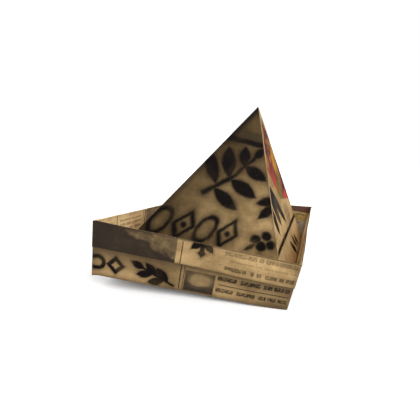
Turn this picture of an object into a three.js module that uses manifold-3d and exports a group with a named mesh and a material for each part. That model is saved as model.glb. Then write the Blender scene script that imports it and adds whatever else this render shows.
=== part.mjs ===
// A hat folded from one double page of a newspaper and opened out to wear.
// The crown is a four-faced point over a rhombus. The bottom of the page is
// turned up all round as an upright brim, and its upper half is turned down
// again outside as a cuff. Millimetres, +Z up, the front towards -Y, and the
// origin on the table under the tip.

import * as THREE from 'three';
import { mergeVertices } from 'three/addons/utils/BufferGeometryUtils.js';
import Module from 'manifold-3d';

// The rhombus of the bottom fold, pointed fore and aft as the hat lies
const HALF_LENGTH = 160;
const HALF_WIDTH = 102;

// Heights over the table: the two pointed ends of the fold curl up from it
const TIP_HEIGHT = 188;
const END_RISE = 13.3;

// Heights over the bottom fold, at the brim's middle and at its pointed ends
const BRIM_HEIGHT = 51.8;
const END_BRIM_HEIGHT = 54;
const CUFF_HEIGHT = 25.9;

// Thicknesses of the folded layers, and the air between two of them
const CROWN_WALL = 1.0;
const FLAP_WALL = 1.0;
const BRIM_WALL = 1.0;
const CUFF_WALL = 1.0;
const LAYER_GAP = 0.3;

// The fold at the brim's foot, which runs in under the crown's lower edge
const FOOT_WIDTH = 3.2;
const FOOT_HEIGHT = 2.4;

// Each brim is worked out at this many places between its middle and an end,
// and its foot is pressed flat on the table in the first of these steps
const STATIONS = 12;
const SOLE_SHARE = 1 / STATIONS;

// Depths inward from the outermost sheet, square to a side of the rhombus
const SIDE_DISTANCE = (HALF_LENGTH * HALF_WIDTH) / Math.hypot(HALF_LENGTH, HALF_WIDTH);
const BRIM_OUTSIDE = CUFF_WALL + LAYER_GAP;
const BRIM_INSIDE = BRIM_OUTSIDE + BRIM_WALL;
const FOOT_INSIDE = BRIM_INSIDE + FOOT_WIDTH;

// The plane of one crown face, through the tip and two corners of the fold
const facePlane = new THREE.Plane().setFromCoplanarPoints(
  new THREE.Vector3(0, 0, TIP_HEIGHT),
  new THREE.Vector3(HALF_LENGTH, 0, END_RISE),
  new THREE.Vector3(0, HALF_WIDTH, 0),
);
const FACE_NORMAL = facePlane.normal;
const FACE_DISTANCE = -facePlane.constant;

// Lower edges of the crown and of its flaps, over the line of the bottom fold.
// A flap stops where the crown's slope brings it a gap away from the brim.
const FACE_RUN = SIDE_DISTANCE / TIP_HEIGHT;
const CROWN_LIFT = FOOT_HEIGHT + LAYER_GAP;
const FLAP_LIFT = (BRIM_INSIDE + LAYER_GAP) / FACE_RUN + 0.1;
const CROWN_INSET = FLAP_WALL + LAYER_GAP;

// How far a cutting shape runs past what it cuts
const CUT_OVERRUN = 6;

const PAPER = {
  crown: 0xa88e5f,
  flap: 0xb59a69,
  brim: 0x94784a,
  cuff: 0xbb9f6c,
};

const wasm = await Module();
wasm.setup();

// Merges a mesh's corners and drops the triangles that this closes up
function welded(geometry) {
  const bare = geometry.clone();
  bare.deleteAttribute('normal');
  bare.deleteAttribute('uv');
  const merged = mergeVertices(bare, 1e-4);
  const index = merged.getIndex().array;
  const kept = [];
  for (let i = 0; i < index.length; i += 3) {
    const [p, q, r] = index.slice(i, i + 3);
    if (p !== q && q !== r && r !== p) {
      kept.push(p, q, r);
    }
  }
  merged.setIndex(kept);
  return merged;
}

function toSolid(geometry) {
  const mesh = welded(geometry);
  return new wasm.Manifold(new wasm.Mesh({
    numProp: 3,
    vertProperties: new Float32Array(mesh.getAttribute('position').array),
    triVerts: new Uint32Array(mesh.getIndex().array),
  }));
}

function toGeometry(solid) {
  const mesh = solid.getMesh();
  const geometry = new THREE.BufferGeometry();
  geometry.setAttribute('position', new THREE.BufferAttribute(mesh.vertProperties, 3));
  geometry.setIndex(new THREE.BufferAttribute(mesh.triVerts, 1));
  return geometry;
}

// The full pyramid whose faces lie `inset` inside the hat's outer ones, and
// whose base edges stand `lift` over the line of the bottom fold
function pyramid(inset, lift) {
  const distance = FACE_DISTANCE - inset;
  const cone = new THREE.ConeGeometry(1, 1, 4);
  cone.rotateX(Math.PI / 2);
  const tip = new THREE.Vector3(0, 0, distance / FACE_NORMAL.z);
  const endHeight = END_RISE + lift;
  const endReach = (distance - FACE_NORMAL.z * endHeight) / FACE_NORMAL.x;
  const sideReach = (distance - FACE_NORMAL.z * lift) / FACE_NORMAL.y;
  const corners = cone.getAttribute('position');
  const corner = new THREE.Vector3();
  for (let i = 0; i < corners.count; i += 1) {
    corner.fromBufferAttribute(corners, i).round();
    if (corner.x === 0 && corner.y === 0) {
      corner.z = corners.getZ(i) > 0 ? tip.z : (lift + endHeight) / 2;
    } else {
      const onEnd = corner.x !== 0;
      corner.set(corner.x * endReach, corner.y * sideReach, onEnd ? endHeight : lift);
    }
    corners.setXYZ(i, corner.x, corner.y, corner.z);
  }
  return toSolid(cone);
}

// The wall between two such pyramids, open below
function facedShell(inset, wall, lift) {
  return pyramid(inset, lift).subtract(pyramid(inset + wall, lift - CUT_OVERRUN));
}

function crownGeometry() {
  return toGeometry(facedShell(CROWN_INSET, CROWN_WALL, CROWN_LIFT));
}

// One folded-down corner: the quarter of the outer wall on the front and on
// the given side, which meets its twin at the front crease
function flapGeometry(side) {
  const quarter = new THREE.BoxGeometry(HALF_LENGTH * 2, HALF_WIDTH * 2, TIP_HEIGHT * 2);
  quarter.translate(side * (HALF_LENGTH + LAYER_GAP / 2), -HALF_WIDTH - LAYER_GAP / 2, TIP_HEIGHT);
  return toGeometry(facedShell(0, FLAP_WALL, FLAP_LIFT).intersect(toSolid(quarter)));
}

// Bends a straight strip round the front of the rhombus. The strip's section
// gives each point a depth inward and a height over the fold; its length runs
// from one end of the hat to the other.
function foldedStrip(section) {
  const shape = new THREE.Shape(section.map(({ depth, height }) => new THREE.Vector2(depth, height)));
  const strip = new THREE.ExtrudeGeometry(shape, { depth: 2, steps: 2 * STATIONS, bevelEnabled: false });
  const endStop = 1 - LAYER_GAP / 2 / HALF_WIDTH;
  const points = strip.getAttribute('position');
  for (let i = 0; i < points.count; i += 1) {
    const depth = points.getX(i);
    const height = points.getY(i);
    const along = THREE.MathUtils.clamp(points.getZ(i) - 1, -endStop, endStop);
    const share = Math.abs(along);
    const scale = 1 - depth / SIDE_DISTANCE;
    const soleRise = (END_RISE * Math.max(0, share - SOLE_SHARE)) / (1 - SOLE_SHARE);
    const stretch = THREE.MathUtils.lerp(1, END_BRIM_HEIGHT / BRIM_HEIGHT, share);
    points.setXYZ(
      i,
      HALF_LENGTH * scale * along,
      -HALF_WIDTH * scale * (1 - share),
      height === 0 ? soleRise : height * stretch + END_RISE * share,
    );
  }
  return welded(strip);
}

// The upright wall of the brim with the fold along its foot
function brimGeometry() {
  const wallTop = BRIM_HEIGHT - CUFF_WALL - LAYER_GAP;
  return foldedStrip([
    { depth: BRIM_OUTSIDE, height: 0 },
    { depth: FOOT_INSIDE, height: 0 },
    { depth: FOOT_INSIDE, height: FOOT_HEIGHT },
    { depth: BRIM_INSIDE, height: FOOT_HEIGHT },
    { depth: BRIM_INSIDE, height: wallTop },
    { depth: BRIM_OUTSIDE, height: wallTop },
  ]);
}

// The strip turned down outside, with the fold that hooks over the brim's top
function cuffGeometry() {
  const cuffBottom = BRIM_HEIGHT - CUFF_HEIGHT;
  return foldedStrip([
    { depth: 0, height: cuffBottom },
    { depth: CUFF_WALL, height: cuffBottom },
    { depth: CUFF_WALL, height: BRIM_HEIGHT - CUFF_WALL },
    { depth: BRIM_INSIDE, height: BRIM_HEIGHT - CUFF_WALL },
    { depth: BRIM_INSIDE, height: BRIM_HEIGHT },
    { depth: 0, height: BRIM_HEIGHT },
  ]);
}

function sheet(name, geometry, color) {
  const material = new THREE.MeshStandardMaterial({ color, roughness: 0.85, metalness: 0 });
  const mesh = new THREE.Mesh(geometry, material);
  mesh.name = name;
  return mesh;
}

function crownGroup() {
  const group = new THREE.Group();
  group.add(sheet('crown', crownGeometry(), PAPER.crown));
  group.add(sheet('left_flap', flapGeometry(-1), PAPER.flap));
  group.add(sheet('right_flap', flapGeometry(1), PAPER.flap));
  return group;
}

// The brim and cuff of one long side; the back ones are the front ones turned
function brimGroup(sideName, turn) {
  const group = new THREE.Group();
  group.add(sheet(`${sideName}_brim`, brimGeometry(), PAPER.brim));
  group.add(sheet(`${sideName}_cuff`, cuffGeometry(), PAPER.cuff));
  group.rotation.z = turn;
  return group;
}

const hat = new THREE.Group();
hat.add(crownGroup(), brimGroup('front', 0), brimGroup('back', Math.PI));

export default hat;
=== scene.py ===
"""Dresses the folded paper hat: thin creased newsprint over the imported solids, in metres."""
import math
from collections import namedtuple

import bmesh
import bpy
from mathutils import Matrix, Vector, noise


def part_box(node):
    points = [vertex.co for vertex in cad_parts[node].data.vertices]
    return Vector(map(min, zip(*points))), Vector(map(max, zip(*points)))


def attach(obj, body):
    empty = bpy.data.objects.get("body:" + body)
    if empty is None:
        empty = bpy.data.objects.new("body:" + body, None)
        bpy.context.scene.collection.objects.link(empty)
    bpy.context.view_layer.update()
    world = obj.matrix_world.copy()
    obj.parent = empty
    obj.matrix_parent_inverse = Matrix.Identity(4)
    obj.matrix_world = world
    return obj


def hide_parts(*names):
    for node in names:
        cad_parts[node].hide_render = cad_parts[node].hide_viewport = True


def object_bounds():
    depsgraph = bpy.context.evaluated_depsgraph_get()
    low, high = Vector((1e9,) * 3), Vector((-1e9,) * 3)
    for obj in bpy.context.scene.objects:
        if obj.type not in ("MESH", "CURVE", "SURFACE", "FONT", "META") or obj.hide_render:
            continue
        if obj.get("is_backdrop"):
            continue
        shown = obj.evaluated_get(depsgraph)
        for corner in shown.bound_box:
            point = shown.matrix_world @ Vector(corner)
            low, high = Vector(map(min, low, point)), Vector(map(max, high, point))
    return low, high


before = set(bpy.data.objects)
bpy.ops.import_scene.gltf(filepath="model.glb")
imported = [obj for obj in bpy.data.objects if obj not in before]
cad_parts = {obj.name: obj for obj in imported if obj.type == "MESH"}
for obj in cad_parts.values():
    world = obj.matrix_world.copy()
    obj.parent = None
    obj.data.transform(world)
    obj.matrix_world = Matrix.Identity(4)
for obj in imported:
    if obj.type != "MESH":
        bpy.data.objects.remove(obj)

CAD_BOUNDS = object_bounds()
CUFF_LOW, CUFF_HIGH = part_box("front_cuff")
_, FLAP_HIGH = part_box("left_flap")

bl_info = {
    "name": "Folded Paper Hat",
    "version": (1, 0, 0),
    "blender": (4, 5, 0),
    "location": "View3D > Sidebar > Paper Hat",
    "description": "Builds a pointed hat folded from one yellowed sheet of newsprint",
    "category": "Object",
}

MM = 0.001


def length_property(name, description, default):
    return bpy.props.FloatProperty(
        name=name, description=description, default=default, unit="LENGTH", subtype="DISTANCE", precision=5
    )


def angle_property(name, description, degrees):
    return bpy.props.FloatProperty(
        name=name, description=description, default=math.radians(degrees), unit="ROTATION", subtype="ANGLE"
    )


def share_property(name, description, default):
    return bpy.props.FloatProperty(name=name, description=description, default=default, subtype="FACTOR")


def colour_property(name, description, default):
    return bpy.props.FloatVectorProperty(
        name=name, description=description, default=default, size=3, min=0.0, max=1.0, subtype="COLOR"
    )


class HatSizes(bpy.types.PropertyGroup):
    """Sizes of the folded sheet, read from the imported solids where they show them."""

    half_length: length_property("Half length", "From the middle to a pointed end", CUFF_HIGH.x)
    half_width: length_property("Half width", "From the middle to the front crease", -CUFF_LOW.y)
    tip_height: length_property("Tip height", "The crown's point over the table", FLAP_HIGH.z)
    end_rise: length_property("End rise", "How far the bottom fold curls up at the ends", 13.3 * MM)
    brim_height: length_property("Brim height", "From fold to brim top at the middle", 2 * CUFF_LOW.z)
    end_brim_top: length_property("End brim top", "The brim's top over the table at an end", CUFF_HIGH.z)
    cuff_height: length_property("Cuff height", "The cuff's raw edge over the bottom fold", CUFF_LOW.z)
    sheet: length_property("Sheet", "Thickness of the pressed layers of newsprint", 0.28 * MM)
    brim_depth: length_property("Brim depth", "The brim's sheet behind the hat's outermost face", 0.82 * MM)
    cuff_depth: length_property("Cuff depth", "The cuff's sheet behind the hat's outermost face", 0.2 * MM)
    flap_depth: length_property("Flap depth", "The flaps' sheet behind the crown's outer face", 0.16 * MM)
    crown_depth: length_property("Crown depth", "The crown's sheet behind the crown's outer face", 0.62 * MM)
    crumple: length_property("Crumple", "How far the panels bow and dent", 0.9 * MM)


class PaperColours(bpy.types.PropertyGroup):
    """Colours of the yellowed sheet and its printing."""

    pale: colour_property("Pale paper", "Where the sheet has stayed lightest", (0.520, 0.352, 0.163))
    toned: colour_property("Toned paper", "Where the sheet has browned", (0.165, 0.105, 0.046))
    # This colour also paints the painted shadow under the cuffs.
    grime_and_shade: colour_property("Grime", "Along folds and handled edges", (0.064, 0.042, 0.022))
    ink: colour_property("Ink", "Printed black, gone warm and thin", (0.0040, 0.0028, 0.0026))


class StageSettings(bpy.types.PropertyGroup):
    """The camera and the light."""

    azimuth: angle_property("Azimuth", "Camera's turn from the front", -37.66)
    elevation: angle_property("Elevation", "Camera over the horizon", 17.7)
    roll: angle_property("Roll", "Camera's tilt on its own axis", 10.15)
    distance: length_property("Distance", "Camera to the point it turns about", 310.06 * MM)
    target_height: length_property("Target height", "That point over the table", 48.0 * MM)
    slide_right: length_property("Slide right", "Camera moved sideways", -28.29 * MM)
    slide_up: length_property("Slide up", "Camera moved up its own axis", 19.85 * MM)
    focal_share: share_property("Focal share", "Focal length over the picture's width", 250.0 / 420.0)
    daylight: share_property("Daylight", "Strength of the light from all round", 1.16)
    sun: share_property("Sun", "Strength of the soft light from the front", 1.5)
    sun_azimuth: angle_property("Sun azimuth", "The soft light's turn from the front", 14.0)
    sun_elevation: angle_property("Sun elevation", "The soft light over the horizon", 54.0)
    sun_spread: angle_property("Sun spread", "How wide the soft light is", 50.0)


# One side of the flat sheet in millimetres: its length, and where the tip of its face lies.
PANEL_LENGTH = 190.0
PANEL_TOP_ALONG = 67.3
PANEL_TOP_UP = 203.0


def soft_abs(value, radius):
    return math.sqrt(value * value + radius * radius)


def soft_max(a, b, radius):
    return 0.5 * (a + b + soft_abs(a - b, radius))


def smooth(start, end, value):
    """0 at the start and 1 at the end, whichever of the two is larger."""
    share = min(max((value - start) / (end - start), 0.0), 1.0)
    return share * share * (3 - 2 * share)


def lerp(a, b, share):
    return a + (b - a) * share


class Folding:
    """Turns places on the flat sheet into places on the opened hat.

    A place round the hat, `along`, is 0 at the front crease, 1 at the right
    point and -1 at the left point, and goes on past them to 2 or -2 at the
    back crease. Depth is measured inward, square to a side of the hat.
    """

    CREASE = 0.0035
    FLAT_SHARE = 1 / 12
    PRESSED_HEIGHT = 4 * MM
    GUTTER = 1.1 * MM
    GUTTER_ROUNDING = 0.3 * MM
    PINCH = 0.045
    PINCH_FROM = 0.02
    PINCH_TO = 0.16
    STIFF_REACH = 14 * MM
    BOW_LENGTH = 52 * MM
    BOW_SEED = Vector((3.1, 7.7, 1.3))
    DENT_LENGTH = 17 * MM
    DENT_SEED = Vector((0.4, 2.6, 9.1))
    DENT_SHARE = 0.3

    def __init__(self, sizes):
        self.sizes = sizes
        diagonal = math.hypot(sizes.half_length, sizes.half_width)
        self.side_distance = sizes.half_length * sizes.half_width / diagonal
        self.slope = math.hypot(1, self.side_distance / sizes.tip_height)

    def plan(self, along, depth):
        shrink = 1 - depth / self.side_distance
        from_crease = min(abs(along), 2 - abs(along))
        x = self.sizes.half_length * (1 - soft_abs(1 - abs(along), self.CREASE))
        y = self.sizes.half_width * (1 - soft_abs(from_crease, self.CREASE))
        return math.copysign(x * shrink, along), math.copysign(y * shrink, abs(along) - 1)

    def share(self, along):
        """0 at the front and back creases, 1 at the pointed ends."""
        return 1 - abs(1 - abs(along))

    def rise(self, along):
        return self.sizes.end_rise * self.share(along)

    def fold_line(self, along, height):
        """Height of the bottom fold, which is pressed flat on the table near the creases."""
        sole = self.sizes.end_rise * max(0.0, self.share(along) - self.FLAT_SHARE) / (1 - self.FLAT_SHARE)
        pressed = 1 - smooth(0.0, self.PRESSED_HEIGHT, height)
        return lerp(self.rise(along), sole, pressed)

    def free_length(self, along):
        """Distance to the nearest upright crease along the bottom."""
        return min(abs(along), abs(1 - abs(along)), 2 - abs(along)) * PANEL_LENGTH * MM

    def dented(self, place, free_length):
        """The place moved by a slow bow and small dents, which die out towards the creases."""
        free = 1 - math.exp(-max(free_length, 0.0) / self.STIFF_REACH)
        bow = noise.noise(place / self.BOW_LENGTH + self.BOW_SEED)
        dent = noise.noise(place / self.DENT_LENGTH + self.DENT_SEED)
        outward_x = math.copysign(self.sizes.half_width, place.x)
        outward_y = math.copysign(self.sizes.half_length, place.y)
        outward = Vector((outward_x, outward_y, 0.0)).normalized()
        return place + outward * ((bow + self.DENT_SHARE * dent) * free * self.sizes.crumple)

    def brim_point(self, along, depth, height):
        x, y = self.plan(along, depth)
        end_height = self.sizes.end_brim_top - self.sizes.end_rise
        stretch = lerp(1, end_height / self.sizes.brim_height, self.share(along))
        place = Vector((x, y, height * stretch + self.fold_line(along, height)))
        return self.dented(place, self.free_length(along))

    def highest(self, inset):
        """How far up a face at that inset reaches before its four sides meet."""
        return 1 - inset * self.slope / self.side_distance

    def crown_point(self, along, upward, inset):
        """upward is 0 on the bottom fold and 1 at the tip, and inset is square to the face.

        The front and back creases are pinched a little nearer together than the brim's.
        """
        depth = upward * self.side_distance + inset * self.slope
        depth = soft_max(depth, self.sizes.brim_depth + self.GUTTER, self.GUTTER_ROUNDING)
        x, y = self.plan(along, min(depth, self.side_distance))
        y *= 1 - self.PINCH * smooth(self.PINCH_FROM, self.PINCH_TO, upward)
        height = upward * self.sizes.tip_height
        place = Vector((x, y, height + (1 - upward) * self.fold_line(along, height)))
        return self.dented(place, (1 - upward) * self.free_length(along))


def spaced(stops, pitch, fine, reach):
    """Places between the stops, close together near each of them and wider apart between."""
    places = []
    for low, high in zip(stops, stops[1:]):
        position = low
        while position < high - fine / 2:
            places.append(position)
            near = min(position - low, high - position)
            position += fine + (pitch - fine) * min(1.0, near / reach)
    places.append(stops[-1])
    return places


Wear = namedtuple("Wear", "fold_mm edge_mm")
FAR = 100.0
MERGE_DISTANCE = 0.004 * MM

# A sheet's first side has slot 0, its other side and its raw edges the next two, and a cuff three more.
OTHER_SIDE = 1
RAW_EDGES = 2
CUFF_SIDE = 3


def paper_grid(name, columns, rows, place, uv, wear, cuff_from=None):
    """A sheet from a grid, each of whose corners is put where the folding says."""
    mesh = bpy.data.meshes.new(name)
    bm = bmesh.new()
    bmesh.ops.create_grid(bm, x_segments=len(columns) - 1, y_segments=len(rows) - 1, size=0.5)
    uv_layer = bm.loops.layers.uv.new("Sheet")
    fold_layer = bm.verts.layers.float.new("fold_mm")
    edge_layer = bm.verts.layers.float.new("edge_mm")
    at = {}
    for vert in bm.verts:
        column = round((vert.co.x + 0.5) * (len(columns) - 1))
        row = round((vert.co.y + 0.5) * (len(rows) - 1))
        at[vert] = (column, row)
    for face in bm.faces:
        face.smooth = True
        middle_column = sum(at[vert][0] for vert in face.verts) / 4
        middle_row = sum(at[vert][1] for vert in face.verts) / 4
        side = 1 if columns[int(middle_column)] + columns[int(middle_column) + 1] > 0 else -1
        if cuff_from is not None and middle_row > cuff_from:
            face.material_index = CUFF_SIDE
        for loop in face.loops:
            column, row = at[loop.vert]
            loop[uv_layer].uv = uv(columns[column], rows[row], side)
    for vert, (column, row) in at.items():
        worn = wear(columns[column], rows[row])
        vert[fold_layer] = worn.fold_mm
        vert[edge_layer] = worn.edge_mm
        vert.co = place(columns[column], rows[row])
    bmesh.ops.remove_doubles(bm, verts=bm.verts, dist=MERGE_DISTANCE)
    bm.to_mesh(mesh)
    bm.free()
    piece = bpy.data.objects.new(name, mesh)
    bpy.context.scene.collection.objects.link(piece)
    return piece


def thicken(piece, thickness):
    """Gives the sheet its thickness, with its other side and its raw edges in slots of their own."""
    wall = piece.modifiers.new("Sheet thickness", "SOLIDIFY")
    wall.thickness = thickness
    wall.offset = -1
    wall.material_offset = OTHER_SIDE
    wall.material_offset_rim = RAW_EDGES


def dress(piece, *materials):
    for material in materials:
        piece.data.materials.append(material)


def hand_over(piece, slot, *nodes):
    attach(piece, "root")
    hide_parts(*nodes)


def face_uv(along, upward, side):
    """Millimetres on one face of the crown: from its crease, and up its slope."""
    from_crease = min(abs(along), 2 - abs(along)) * PANEL_LENGTH
    return side * lerp(from_crease, PANEL_TOP_ALONG, upward), upward * PANEL_TOP_UP


# Shares of the way from the bottom fold to the tip.
CROWN_FOOT = 0.0032
GUTTER_TOP = 0.028
FLAP_FOOT = 0.026


def build_crown(sizes):
    """The four-sided crown, one sheet from the front round to the back crease on either hand."""
    folding = Folding(sizes)
    top = folding.highest(sizes.crown_depth)

    def place(along, upward):
        return folding.crown_point(along, upward, sizes.crown_depth)

    def wear(along, upward):
        to_crease = folding.free_length(along) / MM * (1 - upward)
        return Wear(min(to_crease, upward * PANEL_TOP_UP), FAR)

    columns = spaced((-2, -1, 0, 1, 2), pitch=0.034, fine=0.0018, reach=0.09)
    rows = spaced((CROWN_FOOT, GUTTER_TOP, top), pitch=0.026, fine=0.004, reach=0.05)
    return paper_grid("crown_paper", columns, rows, place, face_uv, wear)


# Shares of a side: the gap at the front crease, and how far a flap wraps round the point.
FLAP_GAP = 0.0016
FLAP_WRAP = 0.004

# A flap's free edge curls up along the crease, but not at the foot or the tip.
CURL_LIFT = 0.35 * MM
CURL_REACH = 5 * MM
CURL_STARTS = (0.0, 0.12)
CURL_ENDS = (1.0, 0.8)


def build_flap(sizes, name, hand):
    """A corner of the sheet, brought to the front crease; hand is -1 for the left and 1 for the right."""
    folding = Folding(sizes)
    top = folding.highest(sizes.flap_depth)

    def place(along, upward):
        curl = CURL_LIFT * math.exp(-abs(along) * PANEL_LENGTH * MM / CURL_REACH)
        curl *= smooth(*CURL_STARTS, upward) * smooth(*CURL_ENDS, upward)
        return folding.crown_point(along, upward, sizes.flap_depth - curl)

    def uv(along, upward, side):
        u, v = face_uv(along, upward, side)
        return abs(u), v

    def wear(along, upward):
        shrink = 1 - upward
        to_edge = (abs(along) - FLAP_GAP) * PANEL_LENGTH * shrink
        to_fold = abs(1 - abs(along)) * PANEL_LENGTH * shrink
        return Wear(to_fold, to_edge)

    columns = spaced((FLAP_GAP, 1, 1 + FLAP_WRAP), pitch=0.03, fine=0.0015, reach=0.09)
    if hand < 0:
        columns = [-along for along in reversed(columns)]
    rows = spaced((FLAP_FOOT, top), pitch=0.026, fine=0.006, reach=0.05)
    return paper_grid(name, columns, rows, place, uv, wear)


HemPoint = namedtuple("HemPoint", "behind_wall height")
Row = namedtuple("Row", "depth height run")

HEM = (
    HemPoint(behind_wall=2.3 * MM, height=4.5 * MM),
    HemPoint(behind_wall=1.8 * MM, height=2.6 * MM),
    HemPoint(behind_wall=1.5 * MM, height=1.0 * MM),
    HemPoint(behind_wall=1.35 * MM, height=0.25 * MM),
    HemPoint(behind_wall=1.05 * MM, height=0.0),
    HemPoint(behind_wall=0.3 * MM, height=0.0),
    HemPoint(behind_wall=0.06 * MM, height=0.18 * MM),
)
WALL_FOOT = 0.7 * MM
TOP_FOLD_STEPS = 8


def brim_section(sizes):
    """The brim's path from its hem inside the crown, under, up and over to the cuff's raw edge.

    Returns the rows and the number of the first row that is on the cuff.
    """
    wall = sizes.brim_depth
    cuff = sizes.cuff_depth + sizes.sheet
    radius = (wall - cuff) / 2
    middle = (wall + cuff) / 2
    bend = sizes.brim_height - radius - sizes.sheet

    def heights(low):
        return spaced((low, bend), pitch=2.4 * MM, fine=0.7 * MM, reach=8 * MM)

    path = [(wall + point.behind_wall, point.height) for point in HEM]
    path += [(wall, height) for height in heights(WALL_FOOT)]
    for step in range(1, TOP_FOLD_STEPS):
        angle = math.pi * step / TOP_FOLD_STEPS
        path.append((middle + radius * math.cos(angle), bend + radius * math.sin(angle)))
    cuff_from = len(path) - TOP_FOLD_STEPS // 2
    path += [(cuff, height) for height in reversed(heights(sizes.cuff_height))]
    run = 0.0
    rows = []
    for index, (depth, height) in enumerate(path):
        if index:
            run += math.dist(path[index - 1], (depth, height))
        rows.append(Row(depth, height, run))
    return rows, cuff_from


# The back brim ends just short of the points. The front one goes on past them as tabs, whose layers
# lie outermost and close together.
BACK_END = 0.9995
TAB = 0.045
TAB_OUTERMOST = -0.75 * MM
TAB_PACKING = 0.35
TAB_CLOSES = (0.985, 1.0)
HEM_STOPS = (0.998, 1.002)

# The cuff's raw edge rises towards the points, is wavy, and stands off a little between the creases.
CUFF_LIFT = 2.3 * MM
CUFF_LIFT_START = 0.1
CUFF_LIFT_GROWS = (0.0, 0.66)
CUFF_WAVE = 0.35 * MM
CUFF_WAVES = 17
CUFF_FLARE = 0.25 * MM
FLARE_STARTS = (0.0, 0.1)
FLARE_ENDS = (0.99, 0.93)


def build_brim(sizes, name, back):
    """One brim with its hem and its turned-down cuff, as one strip folded twice."""
    folding = Folding(sizes)
    rows, cuff_from = brim_section(sizes)
    foot = rows[len(HEM)]
    wave_seed = 4.0 if back else 9.0

    def trimmed(along, row):
        """The front hem stops at the points, so that nothing but the wall goes round them."""
        cut = smooth(*HEM_STOPS, abs(along)) if row.run < foot.run else 0.0
        return lerp(row.depth, foot.depth, cut), lerp(row.height, foot.height, cut)

    def closed_up(along, depth):
        """Towards a point the front brim's layers close up and pass outside the back brim's."""
        packed = (min(depth, foot.depth) - sizes.cuff_depth) * TAB_PACKING
        closed = TAB_OUTERMOST + packed + max(depth - foot.depth, 0.0)
        return lerp(depth, closed, smooth(*TAB_CLOSES, abs(along)))

    def place(along, row):
        depth, height = trimmed(along, row)
        down_cuff = smooth(rows[cuff_from].run, rows[-1].run, row.run)
        lift = CUFF_LIFT * (smooth(*CUFF_LIFT_GROWS, folding.share(along)) - CUFF_LIFT_START)
        wave = CUFF_WAVE * noise.noise(Vector((along * CUFF_WAVES, 0.0, wave_seed)))
        flare = CUFF_FLARE * smooth(*FLARE_ENDS, abs(along)) * smooth(*FLARE_STARTS, abs(along))
        height += (lift + wave) * down_cuff
        depth -= flare * down_cuff ** 2
        if back:
            return folding.brim_point(math.copysign(2 - abs(along), -along), depth, height)
        return folding.brim_point(along, closed_up(along, depth), height)

    def uv(along, row, side):
        return along * PANEL_LENGTH, row.height / MM

    def wear(along, row):
        to_crease = min(abs(along), abs(1 - abs(along))) * PANEL_LENGTH
        to_top = (sizes.brim_height - row.height) / MM
        to_bottom = row.height / MM if row.run < rows[cuff_from].run else FAR
        to_raw_edge = min(rows[-1].run - row.run, row.run) / MM
        return Wear(min(to_crease, to_top, to_bottom), to_raw_edge)

    stops = (-BACK_END, 0, BACK_END) if back else (-1 - TAB, -1, 0, 1, 1 + TAB)
    columns = spaced(stops, pitch=0.022, fine=0.0018, reach=0.07)
    return paper_grid(name, columns, rows, place, uv, wear, cuff_from)


class Answer:
    """The number or the vector that a node gives; arithmetic on it adds Math or Vector Math nodes."""

    def __init__(self, nodes, socket):
        self.nodes = nodes
        self.socket = socket

    def __add__(self, other):
        return self.nodes.math("ADD", self, other)

    def __sub__(self, other):
        return self.nodes.math("SUBTRACT", self, other)

    def __rsub__(self, other):
        return self.nodes.math("SUBTRACT", other, self)

    def __mul__(self, other):
        return self.nodes.math("MULTIPLY", self, other)

    def __truediv__(self, other):
        return self.nodes.math("DIVIDE", self, other)

    def __abs__(self):
        return self.nodes.math("ABSOLUTE", self)


def is_vector(value):
    """True for an answer that is a vector or a colour, and for three plain numbers."""
    if isinstance(value, Answer):
        return value.socket.type in ("VECTOR", "RGBA")
    return isinstance(value, tuple)


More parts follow.
